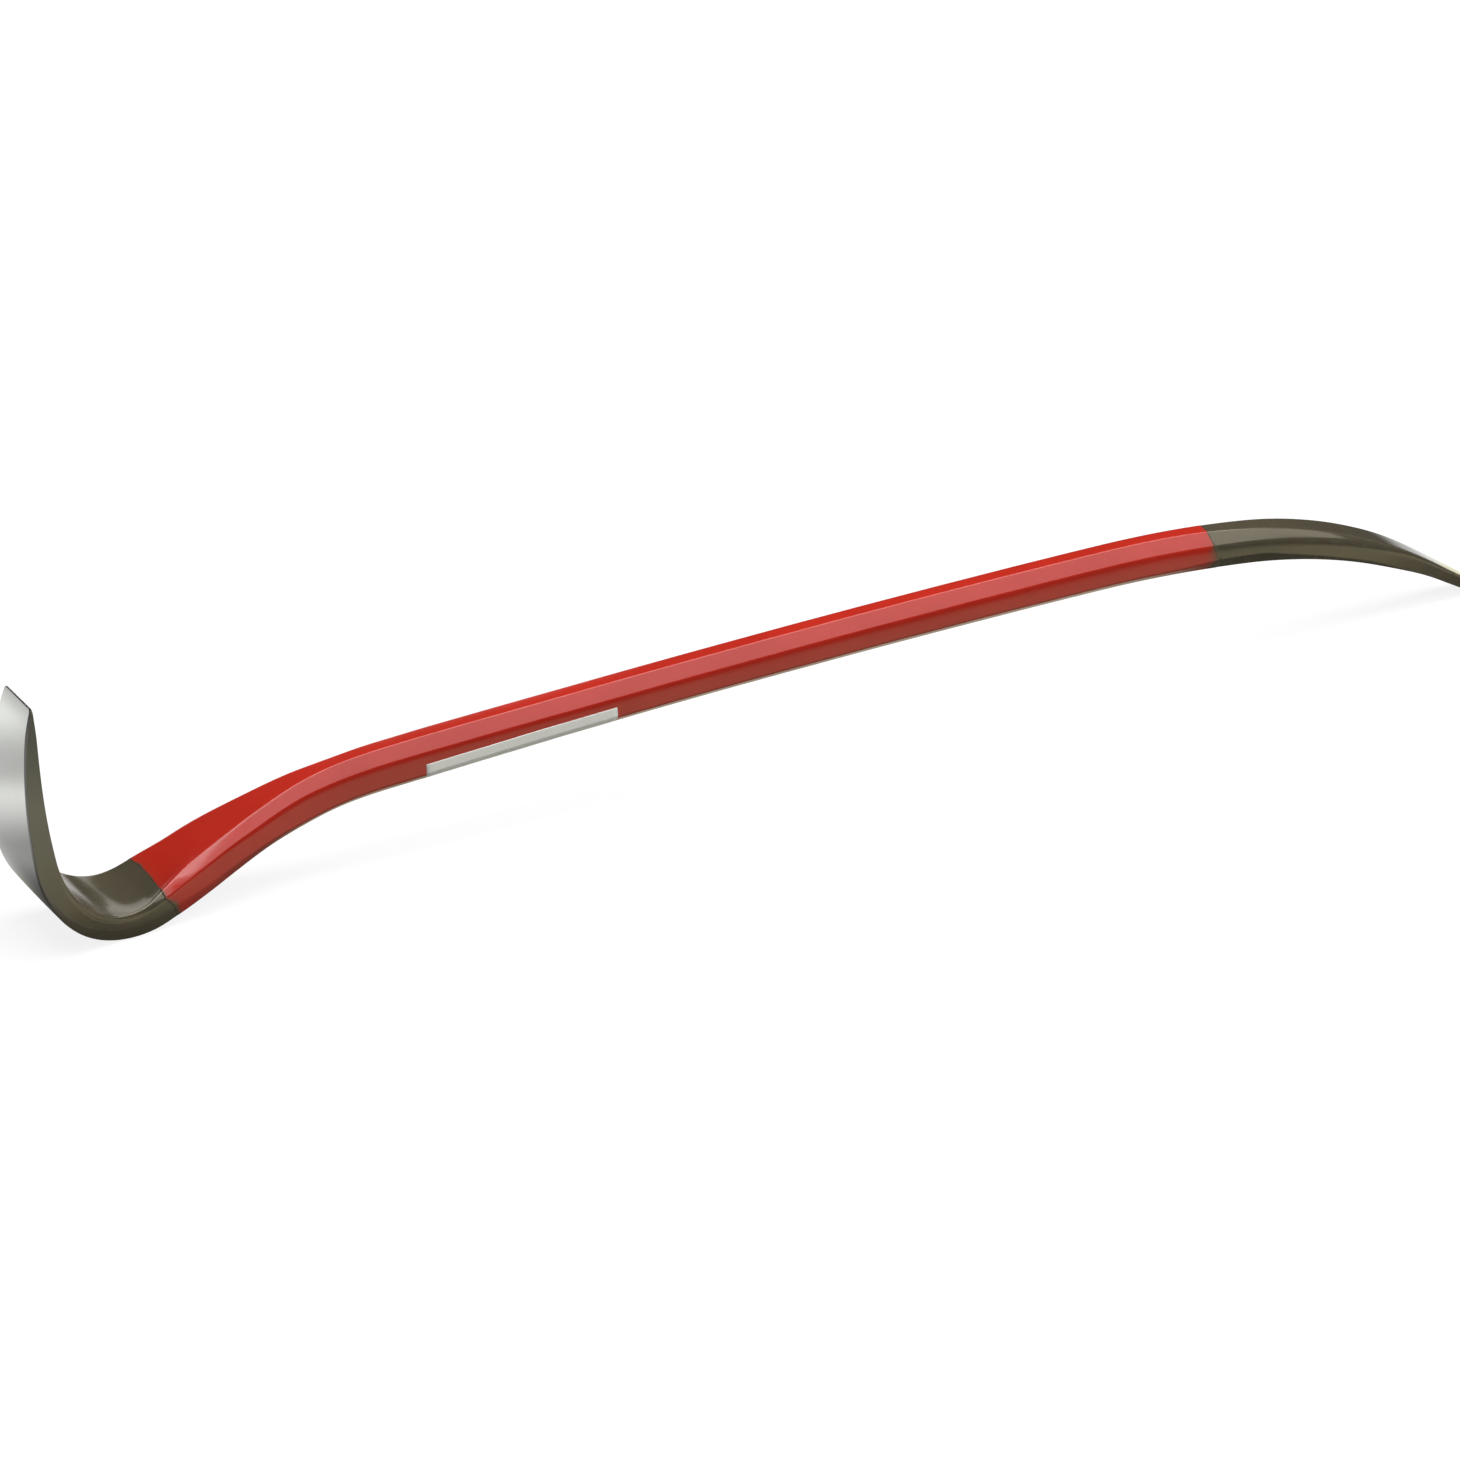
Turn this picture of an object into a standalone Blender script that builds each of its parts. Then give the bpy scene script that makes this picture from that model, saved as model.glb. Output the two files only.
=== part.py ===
"""Crowbar, 0.9 m: one forging with a wedge blade bent up at one end and a tapered nose at the other.

Metres, +Z up. The bar lies along X with the blade at -X, and stands on its heel and on its nose.
"""

import math

import bpy
import numpy as np
from mathutils import Vector

MM = 0.001

# Section of the straight shaft: a rectangle on edge with four chamfers.
SHAFT_HEIGHT = 25.0 * MM
SHAFT_WIDTH = 19.2 * MM
SHAFT_CHAMFER_ACROSS = 6.2 * MM
SHAFT_CHAMFER_DOWN = 6.7 * MM
EDGE_ROUNDING = 0.7 * MM

# Centreline, from the edge of the blade to the end of the nose.
BLADE_LENGTH = 89.0 * MM
BLADE_RADIUS = 345.0 * MM
BEND_RADIUS = 59.5 * MM
BEND_ANGLE = 43.3
HEEL_RADIUS = 43.5 * MM
HEEL_ANGLE = 63.2
RISE_LENGTH = 34.0 * MM
NECK_RADIUS = 320.0 * MM
NECK_ANGLE = 20.4
SHAFT_LENGTH = 442.0 * MM
SHAFT_ARCH_RADIUS = 8000.0 * MM
NOSE_LEAD_RADIUS = 755.0 * MM
NOSE_LEAD_ANGLE = 7.3
NOSE_RADIUS = 305.0 * MM
NOSE_ANGLE = 25.2
NOSE_LENGTH = 31.0 * MM

# Blade: distance of each section from the edge, with its full width and thickness.
EDGE_WIDTH = 33.8 * MM
EDGE_THICKNESS = 1.6 * MM
EDGE_CORNER_RADIUS = 2.5 * MM
WEDGE_AT = 20.0 * MM
WEDGE_THICKNESS = 6.4 * MM
MIDDLE_AT = 60.0 * MM
MIDDLE_WIDTH = 46.8 * MM
MIDDLE_THICKNESS = 10.4 * MM
BEND_AT = 120.0 * MM
BEND_WIDTH = 59.2 * MM
BEND_THICKNESS = 14.0 * MM
HEEL_AT = 160.0 * MM
HEEL_WIDTH = 51.8 * MM
HEEL_THICKNESS = 15.0 * MM
NECK_AT = 210.0 * MM
NECK_WIDTH = 43.4 * MM
NECK_THICKNESS = 21.7 * MM
SHAFT_AT = 310.0 * MM

# Nose: the same, measured from its end.
NOSE_END_WIDTH = 4.0 * MM
NOSE_END_THICKNESS = 6.0 * MM
NOSE_ROUNDING = 29.0 * MM
NOSE_WIDTH = 19.6 * MM
NOSE_THICKNESS = 7.7 * MM
TAPER_AT = 79.0 * MM
TAPER_WIDTH = 24.0 * MM
TAPER_THICKNESS = 13.7 * MM
ROOT_AT = 220.0 * MM

# Chamfers away from the shaft: across the width, then down the thickness.
FINE_CHAMFER = 0.4 * MM
BEND_INNER_CHAMFER = 0.9 * MM
BEND_OUTER_ACROSS = 1.0 * MM
BEND_OUTER_DOWN = 2.5 * MM
HEEL_INNER_ACROSS = 0.9 * MM
HEEL_INNER_DOWN = 1.6 * MM
HEEL_OUTER_ACROSS = 1.2 * MM
HEEL_OUTER_DOWN = 7.2 * MM
WIDENING_AT = 172.0 * MM
NECK_INNER_ACROSS = 6.2 * MM
NECK_INNER_DOWN = 2.8 * MM
NECK_OUTER_ACROSS = 3.3 * MM
NECK_OUTER_DOWN = 6.3 * MM
FLAT_NOSE_AT = 56.0 * MM
TAPER_CHAMFER_ACROSS = 1.7 * MM
TAPER_CHAMFER_DOWN = 2.7 * MM

# Red coat over the shaft, and the label on it, by distance from the blade's edge.
COAT_START = 188.0 * MM
COAT_END = 840.0 * MM
COAT_THICKNESS = 0.4 * MM
GAP = 0.3 * MM
LABEL_START = 350.0 * MM
LABEL_LENGTH = 115.0 * MM
LABEL_RISE = 6.2 * MM
LABEL_MARGIN = 0.8 * MM
LABEL_THICKNESS = 0.2 * MM

COARSE_STEP = 24.0 * MM
FINE_STEP = 5.0 * MM
ARC_STEP = 4.0

STEEL = (0.105, 0.098, 0.078, 1.0)
RED = (0.46, 0.030, 0.022, 1.0)
PAPER = (0.66, 0.68, 0.65, 1.0)


def path_pieces():
    """Length and turn of each piece of the centreline, left turns positive."""
    return [
        (BLADE_LENGTH, BLADE_LENGTH / BLADE_RADIUS),
        (BEND_RADIUS * math.radians(BEND_ANGLE), math.radians(BEND_ANGLE)),
        (HEEL_RADIUS * math.radians(HEEL_ANGLE), math.radians(HEEL_ANGLE)),
        (RISE_LENGTH, 0.0),
        (NECK_RADIUS * math.radians(NECK_ANGLE), -math.radians(NECK_ANGLE)),
        (SHAFT_LENGTH, -SHAFT_LENGTH / SHAFT_ARCH_RADIUS),
        (NOSE_LEAD_RADIUS * math.radians(NOSE_LEAD_ANGLE), -math.radians(NOSE_LEAD_ANGLE)),
        (NOSE_RADIUS * math.radians(NOSE_ANGLE), -math.radians(NOSE_ANGLE)),
        (NOSE_LENGTH, 0.0),
    ]


LENGTH = sum(length for length, _ in path_pieces())


def place(distance, heading=-math.pi / 2):
    """Point and heading of the centreline, by arcs, at a distance from the blade's edge."""
    x, z = 0.0, 0.0
    for length, turn in path_pieces():
        part = min(distance, length)
        swept = turn * part / length
        if abs(swept) < 1e-9:
            x += part * math.cos(heading)
            z += part * math.sin(heading)
        else:
            radius = part / swept
            x += radius * (math.sin(heading + swept) - math.sin(heading))
            z -= radius * (math.cos(heading + swept) - math.cos(heading))
        heading += swept
        distance -= part
        if distance <= 0.0:
            break
    return x, z, heading


def curve_through(knots, distance):
    """Value at a distance of the monotone cubic through the knots, so that no size overshoots."""
    at = [knot[0] for knot in knots]
    value = [knot[1] for knot in knots]
    steps = [b - a for a, b in zip(at, at[1:])]
    slopes = [(b - a) / step for a, b, step in zip(value, value[1:], steps)]
    tangents = [slopes[0]]
    for i in range(1, len(slopes)):
        left, right = slopes[i - 1], slopes[i]
        if left * right <= 0.0:
            tangents.append(0.0)
        else:
            first = 2.0 * steps[i] + steps[i - 1]
            second = steps[i] + 2.0 * steps[i - 1]
            tangents.append((first + second) / (first / left + second / right))
    tangents.append(slopes[-1])
    distance = min(max(distance, at[0]), at[-1])
    i = 0
    while i < len(slopes) - 1 and distance > at[i + 1]:
        i += 1
    t = (distance - at[i]) / steps[i]
    return (
        value[i] * (1.0 + 2.0 * t) * (1.0 - t) ** 2
        + tangents[i] * steps[i] * t * (1.0 - t) ** 2
        + value[i + 1] * t * t * (3.0 - 2.0 * t)
        + tangents[i + 1] * steps[i] * t * t * (t - 1.0)
    )


def along(blade, nose):
    """Knots of one size: blade sections from the edge, nose sections from the end."""
    return blade + [(LENGTH - at, value) for at, value in nose]


WIDTHS = along(
    [(0.0, EDGE_WIDTH), (MIDDLE_AT, MIDDLE_WIDTH), (BEND_AT, BEND_WIDTH),
     (HEEL_AT, HEEL_WIDTH), (NECK_AT, NECK_WIDTH), (SHAFT_AT, SHAFT_WIDTH)],
    [(ROOT_AT, SHAFT_WIDTH), (TAPER_AT, TAPER_WIDTH), (NOSE_ROUNDING, NOSE_WIDTH),
     (0.0, NOSE_WIDTH)],
)
THICKNESSES = along(
    [(0.0, EDGE_THICKNESS), (WEDGE_AT, WEDGE_THICKNESS), (MIDDLE_AT, MIDDLE_THICKNESS),
     (BEND_AT, BEND_THICKNESS), (HEEL_AT, HEEL_THICKNESS), (NECK_AT, NECK_THICKNESS),
     (SHAFT_AT, SHAFT_HEIGHT)],
    [(ROOT_AT, SHAFT_HEIGHT), (TAPER_AT, TAPER_THICKNESS), (NOSE_ROUNDING, NOSE_THICKNESS),
     (0.0, NOSE_END_THICKNESS)],
)


def chamfer_knots(bend, heel, neck, shaft, taper):
    return along(
        [(0.0, FINE_CHAMFER), (MIDDLE_AT, FINE_CHAMFER), (BEND_AT, bend), (HEEL_AT, heel),
         (WIDENING_AT, heel), (NECK_AT, neck), (SHAFT_AT, shaft)],
        [(ROOT_AT, shaft), (TAPER_AT, taper), (FLAT_NOSE_AT, FINE_CHAMFER),
         (0.0, FINE_CHAMFER)],
    )


INNER_ACROSS = chamfer_knots(
    BEND_INNER_CHAMFER, HEEL_INNER_ACROSS, NECK_INNER_ACROSS,
    SHAFT_CHAMFER_ACROSS, TAPER_CHAMFER_ACROSS,
)
INNER_DOWN = chamfer_knots(
    BEND_INNER_CHAMFER, HEEL_INNER_DOWN, NECK_INNER_DOWN,
    SHAFT_CHAMFER_DOWN, TAPER_CHAMFER_DOWN,
)
OUTER_ACROSS = chamfer_knots(
    BEND_OUTER_ACROSS, HEEL_OUTER_ACROSS, NECK_OUTER_ACROSS,
    SHAFT_CHAMFER_ACROSS, TAPER_CHAMFER_ACROSS,
)
OUTER_DOWN = chamfer_knots(
    BEND_OUTER_DOWN, HEEL_OUTER_DOWN, NECK_OUTER_DOWN,
    SHAFT_CHAMFER_DOWN, TAPER_CHAMFER_DOWN,
)


def half_width(distance):
    """Half width, with the blade's corners rounded and the nose drawn in to a round end."""
    half = curve_through(WIDTHS, distance) / 2.0
    if distance < EDGE_CORNER_RADIUS:
        half -= EDGE_CORNER_RADIUS - math.sqrt(
            EDGE_CORNER_RADIUS**2 - (EDGE_CORNER_RADIUS - distance) ** 2
        )
    left = LENGTH - distance
    if left < NOSE_ROUNDING:
        end = NOSE_END_WIDTH / 2.0
        half = end + (half - end) * math.sqrt(1.0 - (1.0 - left / NOSE_ROUNDING) ** 2)
    return half


def section(distance):
    """The eight corners as (across, up), anticlockwise from the inner face's near corner.

    The inner face is the top of the shaft and the hollow side of the blade.
    """
    wide = half_width(distance)
    high = curve_through(THICKNESSES, distance) / 2.0
    limit = min(wide, high) * 0.8
    in_a, in_d, out_a, out_d = (
        min(curve_through(knots, distance), limit)
        for knots in (INNER_ACROSS, INNER_DOWN, OUTER_ACROSS, OUTER_DOWN)
    )
    return [
        (-(wide - in_a), high), (-wide, high - in_d),
        (-wide, -(high - out_d)), (-(wide - out_a), -high),
        (wide - out_a, -high), (wide, -(high - out_d)),
        (wide, high - in_d), (wide - in_a, high),
    ]


def inset(corners, depth):
    """The convex outline with every side moved inwards by the depth."""
    moved = []
    count = len(corners)
    lines = []
    for i in range(count):
        a, b = np.array(corners[i]), np.array(corners[(i + 1) % count])
        side = (b - a) / np.linalg.norm(b - a)
        inward = np.array([-side[1], side[0]])
        lines.append((a + inward * depth, side))
    for i in range(count):
        (p, d), (q, e) = lines[i - 1], lines[i]
        t = np.linalg.solve(np.array([d, -e]).T, q - p)[0]
        moved.append(tuple(p + d * t))
    return moved


def eased(corners):
    """Each corner cut back to two points, as the forging's edges are not sharp."""
    points = []
    count = len(corners)
    for i in range(count):
        here = Vector(corners[i])
        for other in (Vector(corners[i - 1]), Vector(corners[(i + 1) % count])):
            side = other - here
            cut = min(EDGE_ROUNDING, side.length * 0.3)
            points.append(tuple(here + side.normalized() * cut))
    return points


def stations(start, end):
    """Distances for the lofts: close together where the bar bends or changes its section."""
    marks = {start, end}
    at = 0.0
    for length, turn in path_pieces():
        count = max(1, math.ceil(abs(math.degrees(turn)) / ARC_STEP))
        marks.update(at + length * i / count for i in range(count + 1))
        at += length
    count = math.ceil(SHAFT_AT / FINE_STEP)
    marks.update(SHAFT_AT * i / count for i in range(count + 1))
    count = math.ceil((LENGTH - SHAFT_AT - ROOT_AT) / COARSE_STEP)
    marks.update(SHAFT_AT + (LENGTH - SHAFT_AT - ROOT_AT) * i / count for i in range(count + 1))
    count = math.ceil(ROOT_AT / (2.0 * FINE_STEP))
    marks.update(LENGTH - ROOT_AT * i / count for i in range(count + 1))
    marks.update(LENGTH - NOSE_ROUNDING * (i / 10.0) ** 2 for i in range(11))
    marks.update(EDGE_CORNER_RADIUS * (i / 6.0) ** 2 for i in range(7))
    kept = [start]
    for mark in sorted(marks):
        if start < mark < end and mark - kept[-1] > 0.02 * MM:
            kept.append(mark)
    return kept + [end]


def outline_lows(tilt):
    """Lowest point of the heel half and of the nose half, with the bar turned by the tilt."""
    lows = []
    for start, end in ((0.0, LENGTH / 2.0), (LENGTH / 2.0, LENGTH)):
        points = []
        for distance in stations(start, end):
            x, z, heading = place(distance)
            high = curve_through(THICKNESSES, distance) / 2.0
            x += high * math.sin(heading)
            z -= high * math.cos(heading)
            points.append((
                x * math.cos(tilt) - z * math.sin(tilt),
                x * math.sin(tilt) + z * math.cos(tilt),
            ))
        lows.append(min(points, key=lambda point: point[1]))
    return lows


def standing_tilt():
    """The turn that puts the heel and the nose on one floor."""
    tilt = 0.0
    for _ in range(6):
        heel, nose = outline_lows(tilt)
        tilt -= math.atan2(nose[1] - heel[1], nose[0] - heel[0])
    return tilt


TILT = standing_tilt()


def frame_at(distance):
    """Centre, along, and up directions of the section at a distance, turned to stand."""
    x, z, heading = place(distance)
    heading += TILT
    centre = Vector((
        x * math.cos(TILT) - z * math.sin(TILT), 0.0,
        x * math.sin(TILT) + z * math.cos(TILT),
    ))
    up = Vector((-math.sin(heading), 0.0, math.cos(heading)))
    return centre, up


def box_offset():
    """What brings the bar's box to stand on Z = 0 with its middle over the origin."""
    xs, zs = [], []
    for distance in stations(0.0, LENGTH):
        centre, up = frame_at(distance)
        high = curve_through(THICKNESSES, distance) / 2.0
        for side in (-high, high):
            xs.append(centre.x + up.x * side)
            zs.append(centre.z + up.z * side)
    return Vector((-(min(xs) + max(xs)) / 2.0, 0.0, -min(zs)))


OFFSET = box_offset()


def laid(points, distance):
    """Section points placed in the row frame."""
    centre, up = frame_at(distance)
    return [centre + OFFSET + Vector((0.0, across, 0.0)) + up * rise for across, rise in points]


def material(name, colour, roughness, metallic):
    made = bpy.data.materials.new(name)
    made.use_nodes = True
    shader = made.node_tree.nodes["Principled BSDF"]
    shader.inputs["Base Color"].default_value = colour
    shader.inputs["Roughness"].default_value = roughness
    shader.inputs["Metallic"].default_value = metallic
    made.diffuse_color = colour
    return made


def mesh_object(name, points, faces, surface, collection):
    mesh = bpy.data.meshes.new(name)
    mesh.from_pydata([tuple(point) for point in points], [], faces)
    mesh.validate()
    for polygon in mesh.polygons:
        polygon.use_smooth = True
    mesh.set_sharp_from_angle(angle=math.radians(22.0))
    made = bpy.data.objects.new(name, mesh)
    made.data.materials.append(surface)
    collection.objects.link(made)
    return made


def skin(rings):
    """Quads between one ring and the next, each ring a closed loop of the same count."""
    count = len(rings[0])
    faces = []
    for ring in range(len(rings) - 1):
        for i in range(count):
            j = (i + 1) % count
            faces.append((
                ring * count + i, ring * count + j,
                (ring + 1) * count + j, (ring + 1) * count + i,
            ))
    return faces


def capped(rings):
    """Points and faces of a solid loft with flat ends."""
    count = len(rings[0])
    points = [point for ring in rings for point in ring]
    last = (len(rings) - 1) * count
    faces = skin(rings)
    faces.append(tuple(reversed(range(count))))
    faces.append(tuple(last + i for i in range(count)))
    return points, faces


def forged_bar(collection):
    """The whole forging, drawn in under the coat by the coat's thickness and the gap."""
    under = COAT_THICKNESS + GAP
    full = [d for d in stations(0.0, COAT_START - GAP)]
    rings = [laid(eased(section(d)), d) for d in full]
    rings += [laid(eased(inset(section(d), under)), d)
              for d in stations(COAT_START - GAP, COAT_END + GAP)]
    rings += [laid(eased(section(d)), d) for d in stations(COAT_END + GAP, LENGTH)]
    points, faces = capped(rings)
    steel = material("forged_steel", STEEL, 0.42, 0.75)
    return mesh_object("forged_bar", points, faces, steel, collection)


def red_coat(collection):
    """A thin sleeve over the shaft, open at both ends."""
    marks = stations(COAT_START, COAT_END)
    outer = [laid(eased(section(d)), d) for d in marks]
    inner = [laid(eased(inset(section(d), COAT_THICKNESS)), d) for d in marks]
    count = len(outer[0])
    points = [point for ring in outer + inner for point in ring]
    faces = skin(outer)
    base = len(outer) * count
    faces += [tuple(base + i for i in reversed(face)) for face in skin(inner)]
    last = (len(outer) - 1) * count
    for i in range(count):
        j = (i + 1) % count
        faces.append((j, i, base + i, base + j))
        faces.append((last + i, last + j, base + last + j, base + last + i))
    red = material("red_coat", RED, 0.35, 0.0)
    return mesh_object("red_coat", points, faces, red, collection)


def label(collection):
    """A blank sticker, folded over the lower front edge of the shaft."""
    rings = []
    for distance in stations(LABEL_START, LABEL_START + LABEL_LENGTH):
        corners = section(distance)
        fold, foot = np.array(corners[2]), np.array(corners[3])
        down = (foot - fold) / np.linalg.norm(foot - fold)
        top = fold + np.array([0.0, LABEL_RISE])
        foot = foot - down * LABEL_MARGIN
        out_side = np.array([-1.0, 0.0])
        out_chamfer = np.array([down[1], -down[0]])
        mitre = (out_side + out_chamfer) / (1.0 + out_side @ out_chamfer)
        ring = []
        for depth in (GAP + LABEL_THICKNESS, GAP):
            row = [top + out_side * depth, fold + mitre * depth, foot + out_chamfer * depth]
            ring += row if depth > GAP else row[::-1]
        rings.append(laid([tuple(point) for point in ring], distance))
    points, faces = capped(rings)
    paper = material("label", PAPER, 0.55, 0.0)
    return mesh_object("label", points, faces, paper, collection)


def main():
    for existing in list(bpy.data.objects):
        bpy.data.objects.remove(existing)
    collection = bpy.data.collections.new("crowbar")
    bpy.context.scene.collection.children.link(collection)
    forged_bar(collection)
    red_coat(collection)
    label(collection)


main()
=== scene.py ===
"""Crowbar: one long forging, a red enamel coat over its shaft and a blank label.

Metres, in the row frame: the bar lies along X with its blade at -X, Z is up, and it stands
on its heel and on its nose. The near side, where the label is, faces -Y.
"""

import math

import bpy
from mathutils import Matrix, Vector, noise


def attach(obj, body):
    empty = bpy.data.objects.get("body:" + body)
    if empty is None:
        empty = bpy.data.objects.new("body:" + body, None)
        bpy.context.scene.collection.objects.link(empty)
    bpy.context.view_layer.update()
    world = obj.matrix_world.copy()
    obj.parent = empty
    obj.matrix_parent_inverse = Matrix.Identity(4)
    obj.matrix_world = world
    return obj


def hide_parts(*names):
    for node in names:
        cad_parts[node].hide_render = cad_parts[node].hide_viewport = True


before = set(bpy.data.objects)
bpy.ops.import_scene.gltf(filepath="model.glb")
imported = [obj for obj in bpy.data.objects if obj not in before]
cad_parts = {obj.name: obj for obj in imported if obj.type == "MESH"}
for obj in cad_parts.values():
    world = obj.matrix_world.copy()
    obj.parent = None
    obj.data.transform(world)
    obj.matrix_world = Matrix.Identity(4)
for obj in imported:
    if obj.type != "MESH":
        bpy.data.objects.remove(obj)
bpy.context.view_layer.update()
bpy.ops.object.select_all(action="DESELECT")
scene = bpy.context.scene

# ---------------------------------------------------------------------------------------
# The bar. One length of octagonal steel. Its ends are drawn out hot, into a wedge blade
# that is bent up past a heel and into a tapered nose, and it keeps its dark forging skin
# under clear lacquer. The outer face of the blade and the top of the nose are ground.

MM = 0.001

# The middle line, from the edge of the blade. Turns to the left are positive.
EDGE_X, EDGE_Z = -445.72 * MM, 144.474 * MM
EDGE_HEADING = math.radians(-97.219)
BLADE_LENGTH, BLADE_RADIUS = 89.0 * MM, 345.0 * MM
BEND_RADIUS, BEND_ANGLE = 59.5 * MM, 43.3
HEEL_RADIUS, HEEL_ANGLE = 43.5 * MM, 63.2
RISE_LENGTH = 34.0 * MM
NECK_RADIUS, NECK_ANGLE = 320.0 * MM, -20.4
SHAFT_LENGTH, SHAFT_ARCH_RADIUS = 442.0 * MM, 8000.0 * MM
NOSE_LEAD_RADIUS, NOSE_LEAD_ANGLE = 755.0 * MM, -7.3
NOSE_RADIUS, NOSE_ANGLE = 305.0 * MM, -25.2
NOSE_LENGTH = 31.0 * MM


def arc(radius, degrees):
    return radius * math.radians(abs(degrees)), math.radians(degrees)


MIDDLE_LINE = (
    (BLADE_LENGTH, BLADE_LENGTH / BLADE_RADIUS),
    arc(BEND_RADIUS, BEND_ANGLE),
    arc(HEEL_RADIUS, HEEL_ANGLE),
    (RISE_LENGTH, 0.0),
    arc(NECK_RADIUS, NECK_ANGLE),
    (SHAFT_LENGTH, -SHAFT_LENGTH / SHAFT_ARCH_RADIUS),
    arc(NOSE_LEAD_RADIUS, NOSE_LEAD_ANGLE),
    arc(NOSE_RADIUS, NOSE_ANGLE),
    (NOSE_LENGTH, 0.0),
)
LENGTH = sum(length for length, _ in MIDDLE_LINE)
STRAIGHT_BELOW = 1e-9


def on_line(distance):
    """Middle of the section at a distance from the blade's edge, and its upward direction."""
    x, z, heading = EDGE_X, EDGE_Z, EDGE_HEADING
    for length, turn in MIDDLE_LINE:
        part = min(distance, length)
        swept = turn * part / length
        if abs(swept) < STRAIGHT_BELOW:
            x += part * math.cos(heading)
            z += part * math.sin(heading)
        else:
            radius = part / swept
            x += radius * (math.sin(heading + swept) - math.sin(heading))
            z -= radius * (math.cos(heading + swept) - math.cos(heading))
        heading += swept
        distance -= part
        if distance <= 0.0:
            break
    return Vector((x, 0.0, z)), Vector((-math.sin(heading), 0.0, math.cos(heading)))


def knots(blade, nose):
    """One size along the bar, in mm: blade pairs from the edge, nose pairs from the end."""
    pairs = [(at * MM, size * MM) for at, size in blade]
    return pairs + [(LENGTH - at * MM, size * MM) for at, size in nose]


def size_at(pairs, distance):
    """The size at a distance, on a monotone cubic through the pairs."""
    at = [pair[0] for pair in pairs]
    size = [pair[1] for pair in pairs]
    steps = [b - a for a, b in zip(at, at[1:])]
    slopes = [(b - a) / step for a, b, step in zip(size, size[1:], steps)]
    tangents = [slopes[0]]
    for i in range(1, len(slopes)):
        left, right = slopes[i - 1], slopes[i]
        if left * right <= 0.0:
            tangents.append(0.0)
        else:
            first, second = 2.0 * steps[i] + steps[i - 1], steps[i] + 2.0 * steps[i - 1]
            tangents.append((first + second) / (first / left + second / right))
    tangents.append(slopes[-1])
    distance = min(max(distance, at[0]), at[-1])
    i = 0
    while i < len(slopes) - 1 and distance > at[i + 1]:
        i += 1
    t = (distance - at[i]) / steps[i]
    return (
        size[i] * (1.0 + 2.0 * t) * (1.0 - t) ** 2
        + tangents[i] * steps[i] * t * (1.0 - t) ** 2
        + size[i + 1] * t * t * (3.0 - 2.0 * t)
        + tangents[i + 1] * steps[i] * t * t * (t - 1.0)
    )


WIDTH = knots(
    ((0, 33.8), (60, 46.8), (120, 59.2), (160, 51.8), (210, 43.4), (310, 19.2)),
    ((220, 19.2), (79, 24.0), (29, 19.6), (0, 19.6)),
)
THICKNESS = knots(
    ((0, 0.3), (20, 6.4), (60, 10.4), (120, 14.0), (160, 15.0), (210, 21.5), (250, 23.6),
     (285, 26.6), (340, 26.6), (440, 25.2), (560, 24.7)),
    ((220, 24.7), (79, 13.7), (29, 7.7), (0, 6.0)),
)
INNER_ACROSS = knots(
    ((0, 0.4), (60, 0.4), (110, 0.7), (150, 0.9), (172, 1.2), (210, 5.9), (310, 5.35)),
    ((220, 5.35), (150, 3.9), (110, 2.8), (79, 1.9), (56, 1.2), (0, 0.5)),
)
INNER_DOWN = knots(
    ((0, 0.4), (60, 0.4), (90, 0.9), (120, 2.6), (150, 3.5), (172, 3.4), (210, 4.3),
     (250, 5.6), (310, 8.1)),
    ((220, 8.2), (150, 6.6), (110, 4.6), (79, 2.8), (56, 1.8), (0, 0.6)),
)
OUTER_ACROSS = knots(
    ((0, 0.4), (60, 0.4), (120, 1.0), (160, 1.4), (172, 1.4), (210, 3.3), (310, 7.2)),
    ((220, 7.2), (79, 1.9), (56, 0.4), (0, 0.4)),
)
OUTER_DOWN = knots(
    ((0, 0.4), (60, 0.4), (95, 1.2), (120, 4.0), (150, 7.0), (172, 7.4), (210, 6.3), (310, 5.9)),
    ((220, 5.9), (180, 7.8), (163, 7.9), (136, 4.8), (110, 2.8), (79, 1.8), (56, 0.8), (0, 0.4)),
)
# How far each corner's rounding reaches: onto an inner or outer face, onto an upper chamfer
# and down the side below it, and both ways at a lower chamfer. Then how far the sides lean
# in, how far the outer face bulges, how deep the heel is dished, and how uneven the hammer
# has left the faces and edges.
FACE_ROUNDING = knots(
    ((0, 0.25), (60, 0.5), (110, 0.8), (160, 1.0), (210, 0.9), (310, 0.8)),
    ((220, 0.8), (79, 0.8), (29, 0.5), (0, 0.4)),
)
CHAMFER_ROUNDING = knots(
    ((0, 0.25), (60, 0.4), (110, 0.6), (160, 0.8), (210, 0.9), (310, 1.1)),
    ((220, 1.1), (110, 2.0), (79, 1.4), (29, 0.4), (0, 0.4)),
)
SIDE_ROUNDING = knots(
    ((0, 0.25), (60, 0.8), (110, 1.2), (160, 1.6), (210, 3.6), (310, 6.2)),
    ((220, 6.2), (79, 3.6), (29, 1.0), (0, 0.5)),
)
LOWER_ROUNDING = knots(
    ((0, 0.25), (60, 0.5), (110, 1.1), (160, 1.6), (210, 1.4), (310, 1.1)),
    ((220, 1.1), (79, 0.9), (29, 0.5), (0, 0.5)),
)
SIDE_DRAFT = knots(
    ((0, 0), (100, 0), (160, 0.1), (210, 0.4), (260, 0.5), (310, 0.25), (380, 0)),
    ((220, 0), (0, 0)),
)
OUTER_CROWN = knots(
    ((0, 0.1), (30, 0.25), (120, 0.25), (200, 0.05), (310, 0.05)),
    ((220, 0.05), (0, 0.05)),
)
DISH = knots(
    ((0, 0), (100, 0), (130, 0.3), (150, 1.1), (167, 2.4), (186, 2.3), (205, 1.0), (235, 0),
     (310, 0)),
    ((220, 0), (0, 0)),
)
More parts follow.
